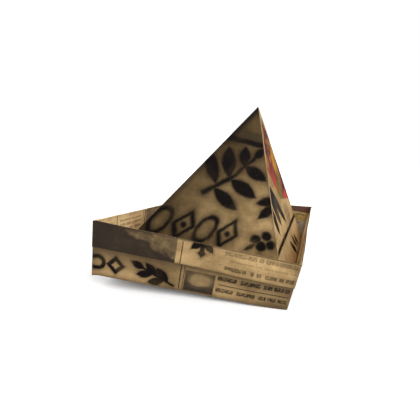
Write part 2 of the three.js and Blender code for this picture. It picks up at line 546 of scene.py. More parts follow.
class Nodes:
    """Adds nodes to one tree and joins them."""

    def __init__(self, tree):
        self.tree = tree

    def feed(self, socket, value):
        """Joins an answer to the socket, or sets a number, a vector or a colour on it."""
        if isinstance(value, Answer):
            self.tree.links.new(value.socket, socket)
        elif socket.type == "RGBA":
            socket.default_value = (*value, 1.0)
        elif socket.type == "VECTOR" and not is_vector(value):
            socket.default_value = (value, value, value)
        else:
            socket.default_value = value

    def add(self, kind, values=(), **settings):
        node = self.tree.nodes.new(kind)
        for name, value in settings.items():
            setattr(node, name, value)
        for key, value in dict(values).items():
            self.feed(node.inputs[key], value)
        return node

    def answer(self, kind, values=(), output=0, **settings):
        """Adds a node and gives back what it gives at one output."""
        return Answer(self, self.add(kind, values, **settings).outputs[output])

    def math(self, operation, *values):
        vectors = any(is_vector(value) for value in values)
        kind = "ShaderNodeVectorMath" if vectors else "ShaderNodeMath"
        return self.answer(kind, enumerate(values), operation=operation)

    def measure(self, operation, *vectors):
        """A number from vectors, such as their distance."""
        return self.answer("ShaderNodeVectorMath", enumerate(vectors), "Value", operation=operation)

    def split(self, vector):
        """The x and the y of a vector."""
        outputs = self.add("ShaderNodeSeparateXYZ", {0: vector}).outputs
        return Answer(self, outputs["X"]), Answer(self, outputs["Y"])

    def join(self, x, y, z=0.0):
        return self.answer("ShaderNodeCombineXYZ", {0: x, 1: y, 2: z})

    def pick(self, operation, values):
        """The largest or the smallest of several values, taken two at a time."""
        while len(values) > 1:
            pairs = [values[i:i + 2] for i in range(0, len(values), 2)]
            values = [self.math(operation, *pair) if len(pair) == 2 else pair[0] for pair in pairs]
        return values[0]

    def largest(self, *values):
        return self.pick("MAXIMUM", values)

    def smallest(self, *values):
        return self.pick("MINIMUM", values)

    def clamped(self, value):
        return self.largest(self.smallest(value, 1.0), 0.0)

    def fade(self, value, start, end, first=0.0, last=1.0):
        """From first where the value is at start to last where it is at end, smoothly."""
        values = {"Value": value, "From Min": start, "From Max": end, "To Min": first, "To Max": last}
        return self.answer("ShaderNodeMapRange", values, "Result", interpolation_type="SMOOTHSTEP")

    def noise(self, place, size=1.0, detail=2.0, roughness=0.5, output="Fac"):
        values = {"Vector": place, "Scale": 1 / size, "Detail": detail, "Roughness": roughness}
        return self.answer("ShaderNodeTexNoise", values, output)

    def blend(self, share, first, second, kind="MIX"):
        values = {0: share, 6: first, 7: second}
        return self.answer("ShaderNodeMix", values, 2, data_type="RGBA", blend_type=kind)

    def stained(self, paper, colour, value, start, end, strength=1.0, kind="MIX"):
        """The paper, fading into the colour as the value goes from start to end."""
        return self.blend(self.fade(value, start, end, 0.0, strength), paper, colour, kind)

    def group(self, name, build, **values):
        """Uses a node group of that name, which is built the first time; the values name its inputs."""
        tree = bpy.data.node_groups.get(name)
        if tree is None:
            tree = bpy.data.node_groups.new(name, "ShaderNodeTree")
            for label, value in values.items():
                kind = "NodeSocketVector" if is_vector(value) else "NodeSocketFloat"
                tree.interface.new_socket(label, in_out="INPUT", socket_type=kind)
            tree.interface.new_socket("result", in_out="OUTPUT", socket_type="NodeSocketFloat")
            inner = Nodes(tree)
            entry = inner.add("NodeGroupInput")
            inputs = {label: Answer(inner, entry.outputs[label]) for label in values}
            inner.add("NodeGroupOutput", {0: build(inner, **inputs)})
        return self.answer("ShaderNodeGroup", values, node_tree=tree)

    def surface(self, values):
        """Ends a material with a shader that has those values."""
        shader = self.answer("ShaderNodeBsdfPrincipled", values)
        self.add("ShaderNodeOutputMaterial", {"Surface": shader})


def stroke_distance(nodes, place, start, end, first, last, belly):
    """Distance to a straight stroke, whose half width goes from first to last with a belly between."""
    reach = end - start
    away = place - start
    along = nodes.measure("DOT_PRODUCT", away, reach) / nodes.measure("DOT_PRODUCT", reach, reach)
    along = nodes.clamped(along)
    gap = nodes.measure("DISTANCE", away, reach * along)
    bulge = along * (1.0 - along) * 4.0
    return gap - ((last - first) * along + first + belly * bulge)


def leaning_place(nodes, place, centre, radii, slant):
    """The place from the centre in shares of the radii, with the mark's lean taken out."""
    x, y = nodes.split(place - centre)
    return nodes.join(x - y * slant, y) / radii


def line_inward(nodes, out, radii, line):
    """Distance to a line of that width, whose outer side is where `out`, a share of the radii, is 0."""
    x, y = nodes.split(radii)
    half = line * 0.5
    return abs(out * ((x + y) * 0.5) + half) - half


def ring_distance(nodes, place, centre, radii, slant, line):
    """Distance to a leaning oval line, drawn inward from its outer radii."""
    out = nodes.measure("LENGTH", leaning_place(nodes, place, centre, radii, slant)) - 1.0
    return line_inward(nodes, out, radii, line)


# How fast the sum of the two shares grows square to a lozenge's side.
LOZENGE_GROWTH = 0.75


def lozenge_distance(nodes, place, centre, radii, slant, line):
    """Distance to a leaning lozenge line, drawn inward from its outer corners."""
    x, y = nodes.split(abs(leaning_place(nodes, place, centre, radii, slant)))
    return line_inward(nodes, (x + y - 1.0) * LOZENGE_GROWTH, radii, line)


def block_distance(nodes, place, low, high):
    """Distance to an upright rectangle."""
    x, y = nodes.split(abs(place - (low + high) * 0.5) - (high - low) * 0.5)
    return nodes.largest(x, y)


# A worn word's strokes, in shares of the pitch between two rows, and what tells one row from the next.
STROKE_WIDTH = 0.26
STROKE_HEIGHT = 2.6
ROW_SEED = 7.31


def worn_rows(nodes, place, low, high, pitch, word):
    """Rows of small marks, too worn to be anything but grey lines of words; 1 is ink."""
    inside = nodes.fade(block_distance(nodes, place, low, high), 0.3, -0.3)
    x, y = nodes.split(place - low)
    line = y / pitch
    seed = nodes.math("FLOOR", line) * ROW_SEED + nodes.split(low)[0]
    from_middle = abs(nodes.math("FRACT", line) - 0.5)
    band = nodes.fade(from_middle, 0.38, 0.18)
    across = nodes.join(x / (pitch * STROKE_WIDTH), line * STROKE_HEIGHT + seed, seed)
    strokes = nodes.fade(nodes.noise(across, detail=1.0), 0.34, 0.56, 0.40, 1.0)
    gaps = nodes.noise(nodes.join(x / word, seed, 3.0), size=0.42, detail=0.0)
    return inside * band * (strokes * nodes.fade(gaps, 0.33, 0.38))


SCREEN_TURN = math.radians(38)
SCREEN_PITCH = 1.3
DOT_SIZE = 0.78


def dot_screen(nodes, place, tone, pitch):
    """Printers' dots that grow with the tone; 1 is ink."""
    turned = nodes.answer("ShaderNodeVectorRotate", {"Vector": place, "Angle": SCREEN_TURN})
    values = {"Vector": turned / pitch, "Scale": 1.0, "Randomness": 0.0}
    distance = nodes.answer("ShaderNodeTexVoronoi", values, "Distance")
    return nodes.fade(distance - tone * DOT_SIZE, 0.10, -0.10)


# Marks on the flat sheet, in millimetres. An oval or a lozenge is filled and upright unless it says
# how wide its line is and how far it leans.
FILLED = 40.0
Leaf = namedtuple("Leaf", "u v to_u to_v half_width")
Bar = namedtuple("Bar", "u v to_u to_v half_width")
Oval = namedtuple("Oval", "u v radius_u radius_v line slant", defaults=(FILLED, 0.0))
Lozenge = namedtuple("Lozenge", "u v radius_u radius_v line slant", defaults=(FILLED, 0.0))
Block = namedtuple("Block", "u v to_u to_v")
Words = namedtuple("Words", "u v to_u to_v pitch word strength")
LEAF_STALK = 0.6
LEAF_TIP = 0.2


class Press(Nodes):
    """Prints one panel: draws marks at their places on the sheet, in millimetres."""

    def __init__(self, tree, colours):
        super().__init__(tree)
        self.colours = colours
        self.sheet = self.answer("ShaderNodeUVMap", uv_map="Sheet")
        self.place = self.sheet
        self.shake(reach=0.9, size=1.8)

    def shake(self, reach, size):
        """Moves the place about unevenly, so that what is drawn from now on gets uneven edges."""
        offset = self.noise(self.place, size, output="Color") - (0.5, 0.5, 0.5)
        self.place = self.place + offset * (reach, reach, 0.0)

    def uv(self):
        """How far round from the crease, and how far up the sheet."""
        return self.split(self.place)

    def attribute(self, name):
        return self.answer("ShaderNodeAttribute", output="Fac", attribute_name=name)

    def distance(self, mark):
        start = (mark.u, mark.v, 0.0)
        if isinstance(mark, (Oval, Lozenge)):
            radii = (mark.radius_u, mark.radius_v, 1.0)
            values = dict(place=self.place, centre=start, radii=radii, slant=mark.slant, line=mark.line)
            if isinstance(mark, Oval):
                return self.group("Oval", ring_distance, **values)
            return self.group("Lozenge", lozenge_distance, **values)
        end = (mark.to_u, mark.to_v, 0.0)
        if isinstance(mark, Block):
            return self.group("Block", block_distance, place=self.place, low=start, high=end)
        if isinstance(mark, Leaf):
            widths = dict(first=LEAF_STALK, last=LEAF_TIP, belly=mark.half_width)
        else:
            widths = dict(first=mark.half_width, last=mark.half_width, belly=0.0)
        return self.group("Stroke", stroke_distance, place=self.place, start=start, end=end, **widths)

    def nearest(self, marks):
        return self.smallest(*[self.distance(mark) for mark in marks])

    def marks(self, marks, softness=0.45):
        """1 where any of the marks puts ink."""
        return self.fade(self.nearest(marks), softness, -softness)

    def heavy_marks(self, marks, softness, bleed, reach):
        """Thickly inked marks, soft at the edge, in a stain of their own that fades out over the reach."""
        nearest = self.nearest(marks)
        thin = self.fade(self.noise(self.place, size=24.0, detail=1.0), 0.36, 0.56, 0.90, 1.0)
        solid = self.fade(nearest, softness, -softness) * thin
        return self.largest(solid, self.fade(nearest, reach, 0.0, 0.0, bleed))

    def words(self, blocks):
        """1 where any of the blocks of worn words puts ink."""
        inked = []
        for block in blocks:
            low, high = (block.u, block.v, 0.0), (block.to_u, block.to_v, 0.0)
            values = dict(place=self.place, low=low, high=high, pitch=block.pitch, word=block.word)
            inked.append(self.group("Worn rows", worn_rows, **values) * block.strength)
        return self.largest(*inked)

    def ridge(self, height, swing, length, seed, blur):
        """1 below a hilly line that runs along the panel."""
        u, v = self.uv()
        wave = self.noise(self.join(u / length, seed), detail=3.0) - 0.5
        return self.fade(v - (wave * (swing * 2) + height), blur, -blur)


# Stains, blacks, the faded colours of the pictures, and colours for painted light and painted shade.
RUSTY = (0.30, 0.145, 0.075)
BAND_BLACK = (0.030, 0.022, 0.014)
OUTER_FOLD_SHADE = (0.011, 0.008, 0.006)
DUSK_BROWN = (0.070, 0.022, 0.022)
SLOPE_RED = (0.31, 0.046, 0.028)
CLOUD_ORANGE = (0.26, 0.105, 0.030)
FIELD_OLIVE = (0.125, 0.092, 0.022)
FIELD_GOLD = (0.33, 0.165, 0.020)
WOODS_BLACK = (0.045, 0.015, 0.018)
BRUSHED_PLUM = (0.085, 0.026, 0.030)
# Painted light for the right flap's foot, in the gap behind the front brim.
GUTTER_PAINTED_LIGHT = (0.56, 0.37, 0.18)
STRIPE_BROWN = (0.16, 0.085, 0.045)
PICTURE_GREY = (0.044, 0.034, 0.027)
DEEP_GREY = (0.031, 0.023, 0.020)
FADED_GREY = (0.15, 0.125, 0.10)
# The strip inside the back brim: printed colours, made paler as painted light where the crown shades it.
STRIP_RED = (0.100, 0.042, 0.037)
STRIP_GOLD = (0.60, 0.44, 0.17)
STRIP_CREAM = (0.62, 0.56, 0.50)
STRIP_BROWN = (0.075, 0.042, 0.034)
BAND_RED = (0.12, 0.040, 0.028)

# What the paper's own colour is multiplied by for painted shade on the left flap, and for painted light
# inside the brims, where the hat shades itself.
LEFT_FLAP_SHADE = (0.30, 0.295, 0.285)
LEFT_TIP_SHADE = (0.62, 0.62, 0.60)
BACK_INNER_PAINTED_LIGHT = (1.50, 1.60, 1.80)
FRONT_INNER_PAINTED_LIGHT = (1.72, 1.94, 2.40)


def bare_paper(press, toning, seed):
    """The yellowed sheet before printing: mottled, fibrous, browner where it was handled."""
    place = press.sheet + (seed * 61.0, seed * 37.0, seed)
    broad = press.fade(press.noise(place, size=46.0, detail=3.0, roughness=0.55), 0.30, 0.72)
    patches = press.noise(place, size=11.0, detail=4.0, roughness=0.62) - 0.5
    streaks = press.noise(place * (0.25, 1.0, 1.0), size=9.0) - 0.5
    fibres = press.noise(place * (0.55, 2.2, 1.0), roughness=0.6)
    stains = press.noise(place, size=27.0)
    flecks = press.noise(place, size=2.1, detail=0.0)
    brown = press.clamped(broad * 0.55 + toning + patches * 0.75 + streaks * 0.55)
    paper = press.blend(brown, press.colours.pale, press.colours.toned)
    paper = press.stained(paper, press.colours.grime_and_shade, fibres, 0.52, 0.80, 0.22)
    paper = press.stained(paper, RUSTY, stains, 0.60, 0.74, 0.5)
    paper = press.stained(paper, press.colours.grime_and_shade, flecks, 0.74, 0.80, 0.45)
    return paper, fibres


# Millimetres between the fine creases that cross the whole sheet.
CREASE_SPACING = 31.0


def finish_paper(press, paper, ink, fibres):
    """Inks the paper, wears it along its folds and edges, and joins it to the shader."""
    grime_and_shade = press.colours.grime_and_shade
    fold = press.attribute("fold_mm")
    edge = press.attribute("edge_mm")
    patchy = press.noise(press.sheet, size=3.4, detail=3.0, roughness=0.7)
    rubbed = press.fade(patchy * 2.2 + fold, 2.3, 1.0, 0.0, 0.55)
    hold = press.fade(patchy, 0.24, 0.46, 0.92, 1.0) * (1.0 - rubbed)
    colour = press.stained(paper, grime_and_shade, patchy * 5.0 + fold, 9.0, 1.5, 0.34, "DARKEN")
    colour = press.stained(colour, grime_and_shade, patchy * 4.0 + edge, 5.5, 1.2, 0.42, "DARKEN")
    colour = press.blend(ink * hold, colour, press.colours.ink)
    crumple = press.noise(press.sheet, size=24.0, detail=4.0, roughness=0.55)
    cells = {"Vector": press.sheet, "Scale": 1 / CREASE_SPACING}
    creases = press.answer("ShaderNodeTexVoronoi", cells, "Distance", feature="DISTANCE_TO_EDGE")
    height = fibres * 0.05 + crumple * 1.1 + press.fade(creases, 0.0, 0.035) * 0.12
    bump = press.answer("ShaderNodeBump", {"Height": height, "Distance": MM, "Strength": 0.8})
    roughness = ink * -0.2 + 0.88
    values = {"Base Color": colour, "Roughness": roughness, "Normal": bump, "Specular IOR Level": 0.04}
    press.surface(values)


def empty_material(name):
    material = bpy.data.materials.new(name)
    material.use_nodes = True
    material.node_tree.nodes.clear()
    return material


def raw_edge_material(name, colours):
    """The cut edge: pale torn fibre, dirty in places."""
    material = empty_material(name)
    nodes = Nodes(material.node_tree)
    place = nodes.answer("ShaderNodeTexCoord", output="Object")
    darkening = nodes.noise(place, size=3 * MM, detail=3.0, roughness=0.6)
    share = nodes.fade(darkening, 0.4, 0.65, 0.15, 0.85)
    colour = nodes.blend(share, colours.toned, colours.grime_and_shade)
    torn = nodes.noise(place, size=0.5 * MM)
    bump = nodes.answer("ShaderNodeBump", {"Height": torn, "Distance": 0.1 * MM})
    nodes.surface({"Base Color": colour, "Normal": bump, "Roughness": 0.9})
    return material


COLUMN_GAP = 4.0
COLUMN_WORD = 9.0


def columns_of_words(first, last, low, high, width, pitch, strength):
    """Newspaper columns across a panel, with a gap between them."""
    step = width + COLUMN_GAP
    starts = [first + index * step for index in range(round((last - first) / step))]
    return tuple(
        Words(start, low, start + width, high, pitch, COLUMN_WORD, strength)
        for start in starts
    )


BROAD_RULE = (Block(u=-5, v=157.0, to_u=200, to_v=164.8),)

LAUREL = (
    Bar(u=106, v=98, to_u=80, to_v=120, half_width=3.2),
    Bar(u=80, v=120, to_u=60, to_v=145, half_width=2.6),
    Leaf(u=95, v=109, to_u=111, to_v=144, half_width=7.4),
    Leaf(u=97, v=105, to_u=68, to_v=86, half_width=7.2),
    Leaf(u=83, v=118, to_u=90, to_v=152, half_width=7.8),
    Leaf(u=82, v=117, to_u=50, to_v=104, half_width=7.8),
    Leaf(u=70, v=133, to_u=72, to_v=156, half_width=6.2),
    Leaf(u=69, v=134, to_u=42, to_v=124, half_width=7.0),
    Leaf(u=60, v=145, to_u=52, to_v=158, half_width=4.6),
    Leaf(u=24, v=108, to_u=50, to_v=98, half_width=5.4),
    Leaf(u=26, v=104, to_u=46, to_v=82, half_width=5.4),
)

LEANING_BORDER = (
    Oval(u=142, v=62, radius_u=11.0, radius_v=17.0, slant=-0.42, line=6.2),
    Lozenge(u=118.5, v=62, radius_u=13.0, radius_v=18.5, slant=-0.42, line=6.0),
    Oval(u=96, v=62, radius_u=11.0, radius_v=17.0, slant=-0.42, line=6.2),
    Lozenge(u=73.5, v=62, radius_u=12.5, radius_v=18.5, slant=-0.42, line=6.0),
    Oval(u=118.5, v=62, radius_u=3.6, radius_v=3.6),
    Oval(u=73.5, v=62, radius_u=3.6, radius_v=3.6),
)

BERRIES = (
    Oval(u=32, v=67, radius_u=6.6, radius_v=5.6),
    Oval(u=43, v=62, radius_u=6.8, radius_v=5.6),
    Oval(u=36, v=56, radius_u=7.0, radius_v=5.8),
    Oval(u=26, v=59, radius_u=6.0, radius_v=5.4),
    Leaf(u=41, v=58, to_u=54, to_v=49, half_width=2.8),
)


# The brightest spot of the painted light on the left flap; further from it the face is painted darker, as
# shade towards its upper left.
LEFT_FLAP_LIGHT_CENTRE = (38.0, 62.0, 0.0)


def left_flap_design(press, paper):
    """A laurel branch between a broad rule and a leaning border, all in heavy black."""
    press.shake(reach=2.6, size=7.0)
    marks = BROAD_RULE + LAUREL + LEANING_BORDER + BERRIES
    ink = press.heavy_marks(marks, softness=2.6, bleed=0.34, reach=6.0)
    v = press.uv()[1]
    from_light_centre = press.measure("DISTANCE", press.place, LEFT_FLAP_LIGHT_CENTRE)
    # Painted shade: the left flap darkens away from its lit centre, most towards its upper left.
    paper = press.stained(paper, LEFT_FLAP_SHADE, from_light_centre, -14.0, 96.0, kind="MULTIPLY")
    band = press.fade(v, 163.0, 166.0) * press.fade(v, 174.0, 171.0, 0.0, 0.6)
    paper = press.blend(band, paper, BAND_BLACK)
    # Painted shade: the top of the flap above the broad rule is darkened.
    paper = press.stained(paper, LEFT_TIP_SHADE, v, 163.0, 174.0, kind="MULTIPLY")
    # Painted shade: near black along the outer fold, more so higher up, and at the tip.
    outer_fold = press.fade(press.attribute("fold_mm"), 10.0, 1.5)
    tip = press.fade(v, 188.0, 198.0)
    dark = press.largest(outer_fold * press.fade(v, 140.0, 172.0, 0.60, 1.0), tip)
    return press.blend(dark, paper, OUTER_FOLD_SHADE), ink


FAN = (
    Leaf(u=34, v=126, to_u=92, to_v=60, half_width=5.4),
    Leaf(u=34, v=120, to_u=64, to_v=66, half_width=6.6),
    Leaf(u=28, v=104, to_u=48, to_v=60, half_width=5.2),
    Leaf(u=22, v=86, to_u=24, to_v=60, half_width=4.6),
    Leaf(u=92, v=34, to_u=116, to_v=8, half_width=3.2),
    Leaf(u=108, v=36, to_u=128, to_v=12, half_width=3.0),
    Leaf(u=124, v=32, to_u=140, to_v=10, half_width=2.8),
)

FLOOR_RULE = (Block(u=0, v=46.6, to_u=200, to_v=52.4),)

# The landscape's two slanting edges: it lies where u and v, so weighed, add up to more than the start.
SlantingEdge = namedtuple("SlantingEdge", "u_weight v_weight start")
PICTURE_EDGES = (
    SlantingEdge(u_weight=0.754, v_weight=0.656, start=126.5),
    SlantingEdge(u_weight=0.238, v_weight=0.972, start=111.8),
)
HILL_SWING = 18.2


def painted_hills(press, paper):
    """A made-up coloured landscape set aslant: red slopes, a golden field and dark woods."""
    u, v = press.uv()
    over = [u * edge.u_weight + (v * edge.v_weight - edge.start) for edge in PICTURE_EDGES]
    inside = press.fade(press.smallest(*over), -1.6, 1.6) * press.fade(v, 190.0, 182.0)
    hilly = (press.noise(press.place, size=24.0, detail=3.0) - 0.5) * HILL_SWING + u
    picture = press.stained(DUSK_BROWN, SLOPE_RED, v, 150.0, 108.0)
    clouds = press.noise(press.place * (1.0, 0.8, 1.0), size=15.0)
    glow = press.fade(clouds, 0.46, 0.58) * press.fade(v, 126.0, 142.0, 0.0, 0.85)
    picture = press.blend(glow, picture, CLOUD_ORANGE)
    field = press.fade(hilly, 80.0, 84.0) * press.fade(hilly, 106.0, 100.0)
    picture = press.blend(field, picture, press.stained(FIELD_OLIVE, FIELD_GOLD, v, 118.0, 138.0))
    woods = press.fade(hilly, 104.0, 112.0) * press.fade(v, 92.0, 104.0)
    picture = press.blend(woods, picture, WOODS_BLACK)
    brushed = press.noise(press.place * (1.0, 0.4, 1.0), size=9.0, detail=3.0, roughness=0.6)
    picture = press.stained(picture, BRUSHED_PLUM, brushed, 0.50, 0.64, 0.8)
    return press.blend(inside, paper, picture)


# Bare paper beside the front crease, in millimetres.
MARGIN = 3.6


def right_flap_design(press, paper):
    """A coloured landscape over a fan of long leaves, with a bare margin at the crease."""
    press.shake(reach=2.2, size=9.0)
    u, v = press.uv()
    from_crease = v * (-PANEL_TOP_ALONG / PANEL_TOP_UP) + u - press.fade(v, 130.0, 178.0, 0.0, 2.4)
    printed = press.fade(from_crease, MARGIN - 0.8, MARGIN + 0.8)
    inked = painted_hills(press, paper)
    # Painted light: screened paler towards the foot, where the front brim shades the flap.
    inked = press.stained(inked, GUTTER_PAINTED_LIGHT, v, 54.0, 26.0, kind="SCREEN")
    stripes = press.noise(press.place * (1.0, 0.08, 1.0), size=6.0, detail=1.0)
    below = press.fade(v, 46.0, 44.0) * press.fade(stripes, 0.58, 0.70, 0.0, 0.6)
    inked = press.blend(below, inked, STRIPE_BROWN)
    ink = press.heavy_marks(FAN + FLOOR_RULE, softness=1.0, bleed=0.2, reach=3.0)
    return press.blend(printed, paper, inked), ink * printed


def murky_hills(press, low, high, seed, darkness=1.0):
    """Tone of a dim printed landscape: pale sky, far hills and a black near bank."""
    cloud = press.noise(press.place, size=17.0, detail=4.0, roughness=0.6)
    sky = press.fade(cloud, 0.3, 0.7, 0.52 * darkness, 0.80 * darkness)
    far = press.ridge(lerp(low, high, 0.62), (high - low) * 0.55, length=38.0, seed=seed, blur=1.8)
    near = press.ridge(lerp(low, high, 0.18), (high - low) * 0.4, length=19.0, seed=seed + 4.0, blur=1.2)
    return far * 0.16 + sky + near * 0.18


def screened_picture(press, paper, ink, block, tone, shade=PICTURE_GREY):
    """Puts a picture of dots on its own greyed ground, and gives back the paper and the ink."""
    inside = press.marks([block], softness=0.5)
    paper = press.blend(inside * (tone * 0.92), paper, shade)
    dots = press.group("Dot screen", dot_screen, place=press.place, tone=tone, pitch=SCREEN_PITCH)
    return paper, press.largest(ink, dots * inside * 0.55)


BRIM_ORNAMENTS = (
    Oval(u=-187, v=14.0, radius_u=7.4, radius_v=7.6, line=4.0),
    Lozenge(u=-171, v=13.5, radius_u=9.0, radius_v=9.6, line=4.2),
    Bar(u=-117, v=3.5, to_u=-152, to_v=19, half_width=1.3),
    Leaf(u=-122, v=6, to_u=-134, to_v=19, half_width=4.0),
    Leaf(u=-126, v=7, to_u=-141, to_v=3, half_width=3.6),
    Leaf(u=-133, v=11, to_u=-144, to_v=22, half_width=3.6),
    Leaf(u=-137, v=12, to_u=-152, to_v=9, half_width=3.6),
    Leaf(u=-145, v=16, to_u=-157, to_v=21, half_width=3.2),
)

BRIM_RULES = (
    Block(u=-111.8, v=1.5, to_u=-110.9, to_v=27),
    Block(u=-108.4, v=1.5, to_u=-107.8, to_v=27),
    Block(u=-74, v=13.4, to_u=-3, to_v=14.2),
    Block(u=20, v=23.0, to_u=112, to_v=23.7),
    Block(u=118.0, v=2.0, to_u=118.7, to_v=27),
)

BRIM_WORDS = (
    Words(u=-76, v=16.6, to_u=-3, to_v=24.4, pitch=7.8, word=14.0, strength=0.9),
    Words(u=-76, v=4.2, to_u=-3, to_v=11.8, pitch=7.6, word=13.0, strength=0.86),
    Words(u=22, v=3.0, to_u=64, to_v=22.0, pitch=3.2, word=8.0, strength=0.8),
    Words(u=68, v=3.0, to_u=112, to_v=22.0, pitch=3.2, word=8.0, strength=0.8),
    Words(u=122, v=6.0, to_u=184, to_v=22.0, pitch=8.0, word=19.0, strength=0.9),
)

# Bands of darkening on the brim walls: painted shadow under the cuff's raw edge, a broad one up to the edge
# and a narrow dark one just below it; and darker towards the bottom fold.
Darkening = namedtuple("Darkening", "start end strength")
BRIM_DARKENING = (
    Darkening(start=6.0, end=29.0, strength=0.68),
    Darkening(start=21.5, end=26.5, strength=0.45),
    Darkening(start=3.6, end=0.2, strength=0.5),
)


def shaded_below_cuff(press, paper):
    """Painted shadow under the cuff's edge, and darker towards the bottom fold."""
    v = press.uv()[1]
    for darkening in BRIM_DARKENING:
        paper = press.stained(paper, press.colours.grime_and_shade, v, darkening.start, darkening.end, darkening.strength)
    return paper


def front_brim_design(press, paper):
    """The lower half of the brim: ornaments, a small picture and rows of worn words."""
    ornaments = press.heavy_marks(BRIM_ORNAMENTS, softness=0.8, bleed=0.3, reach=3.0)
    ink = press.largest(press.marks(BRIM_RULES), press.words(BRIM_WORDS), ornaments)
    tree = Oval(u=-92, v=14, radius_u=11.0, radius_v=6.5, slant=0.1)
    tone = press.marks([tree], softness=2.6) * -0.4 + murky_hills(press, 0.0, 14.0, seed=3.0)
    tone = press.largest(tone, press.ridge(5.5, 3.5, length=7.0, seed=1.0, blur=1.0))
    picture = Block(u=-107, v=1.5, to_u=-78, to_v=22.5)
    paper, ink = screened_picture(press, paper, ink, picture, tone)
    u, v = press.uv()
    # Darker towards the front crease, most at its bottom corner, and a little darker towards the left point.
    darkened = press.largest(
        press.fade(u, -66.0, -6.0) * press.fade(u, 8.0, 3.0, 0.0, 0.45),
        press.fade(u, -100.0, -176.0, 0.0, 0.14),
        press.fade(u, -50.0, -6.0) * press.fade(v, 14.0, 1.5, 0.0, 0.8),
    )
    paper = press.blend(darkened, paper, press.colours.grime_and_shade)
    return shaded_below_cuff(press, paper), ink


CUFF_ORNAMENTS = (
    Bar(u=-95, v=56, to_u=-95, to_v=43, half_width=2.4),
    Leaf(u=-95, v=55, to_u=-105.5, to_v=44.0, half_width=3.4),
    Leaf(u=-95, v=55, to_u=-84.5, to_v=44.0, half_width=3.4),
    Lozenge(u=-95, v=41.5, radius_u=4.4, radius_v=5.4),
    Lozenge(u=110, v=42, radius_u=7.0, radius_v=7.5, line=2.6),
    Oval(u=110, v=42, radius_u=2.2, radius_v=2.2),
)

CUFF_RULES = (
    Block(u=-113.4, v=26, to_u=-112.6, to_v=50),
    Block(u=8, v=44.5, to_u=96, to_v=45.3),
)

CUFF_WORDS = (
    Words(u=-74, v=43.6, to_u=-2, to_v=51.2, pitch=7.6, word=16.0, strength=0.50),
    Words(u=-68, v=38.2, to_u=-2, to_v=42.0, pitch=3.8, word=9.0, strength=0.30),
    Words(u=-72, v=28.0, to_u=-2, to_v=35.6, pitch=7.6, word=14.0, strength=0.66),
    Words(u=6, v=29.0, to_u=98, to_v=43.0, pitch=3.5, word=9.0, strength=0.8),
    Words(u=6, v=46.0, to_u=98, to_v=52.0, pitch=6.0, word=18.0, strength=0.9),
    Words(u=124, v=30.0, to_u=184, to_v=50.0, pitch=3.4, word=9.0, strength=0.75),
)


def soiled_top_fold(press, paper):
    """A thin dark line where the hat is picked up."""
    v = press.split(press.sheet)[1]
    return press.stained(paper, press.colours.grime_and_shade, v, 50.3, 51.2, 0.75)


# The bank in the cuff's picture: its top falls from left to right, to this far below the bottom fold.
BANK_FALL = 0.42
BANK_START = 18.0
BANK_SWING = 26.0


def front_cuff_design(press, paper):
    """The cuff: a dim landscape at the left point, then a hanging ornament and bold words."""
    ornaments = press.heavy_marks(CUFF_ORNAMENTS, softness=0.9, bleed=0.35, reach=3.5)
    ink = press.largest(press.marks(CUFF_RULES), press.words(CUFF_WORDS), ornaments)
    u, v = press.uv()
    cloud = press.noise(press.place, size=15.0, detail=4.0, roughness=0.6)
    swing = (press.noise(press.place, size=19.0, detail=3.0) - 0.5) * BANK_SWING
    over_bank = v + swing + (u * BANK_FALL + BANK_START)
    bank = press.fade(over_bank, 4.0, -4.0) * press.fade(cloud, 0.2, 0.5, 0.88, 1.0)
    tone = press.largest(press.fade(cloud, 0.30, 0.76, 0.42, 0.86), bank)
    picture = Block(u=-200, v=20, to_u=-118, to_v=60)
    paper = soiled_top_fold(press, paper)
    return screened_picture(press, paper, ink, picture, tone, DEEP_GREY)


BACK_INNER_RULES = (
    Block(u=163.4, v=8, to_u=164.2, to_v=60),
    Block(u=119.2, v=0, to_u=120.4, to_v=60),
    Block(u=122.6, v=0, to_u=123.2, to_v=60),
)

BACK_INNER_WORDS = (
    Words(u=126, v=12.0, to_u=160, to_v=46.0, pitch=5.2, word=11.0, strength=0.5),
    Words(u=166, v=12.0, to_u=188, to_v=46.0, pitch=5.2, word=11.0, strength=0.35),
)


def back_inner_design(press, paper):
    """Inside the back brim: faint small words and a grey picture left, a coloured strip right."""
    ink = press.largest(press.marks(BACK_INNER_RULES), press.words(BACK_INNER_WORDS))
    # Painted light: the paper is made paler inside the back brim, where the crown and the brims shade it.
    paper = press.blend(1.0, paper, BACK_INNER_PAINTED_LIGHT, "MULTIPLY")
    tone = murky_hills(press, 6.0, 54.0, seed=21.0, darkness=0.8)
    picture = Block(u=20, v=-5, to_u=118, to_v=60)
    paper, ink = screened_picture(press, paper, ink, picture, tone, FADED_GREY)
    far = press.ridge(42.0, 3.0, length=30.0, seed=6.0, blur=0.8)
    near = press.ridge(28.0, 3.0, length=22.0, seed=7.5, blur=0.8)
    strip = press.blend(near, press.blend(far, STRIP_RED, STRIP_GOLD), STRIP_CREAM)
    brushed = press.noise(press.place * (0.3, 1.0, 1.0), size=6.0, detail=3.0, roughness=0.6)
    strip = press.stained(strip, STRIP_BROWN, brushed, 0.48, 0.68, 0.7)
    return press.stained(paper, strip, press.uv()[0], -18.0, -19.5, 0.94), ink


FRONT_INNER_MARKS = (
    Bar(u=184, v=47, to_u=126, to_v=45, half_width=2.6),
    Bar(u=120, v=46, to_u=14, to_v=22, half_width=3.2),
    Bar(u=84, v=48, to_u=8, to_v=36, half_width=2.0),
    Bar(u=64, v=22, to_u=8, to_v=10, half_width=2.6),
    Block(u=4.0, v=0, to_u=5.2, to_v=60),
)

FRONT_INNER_WORDS = columns_of_words(-184, -10, low=8.0, high=46.0, width=54, pitch=3.6, strength=0.7)


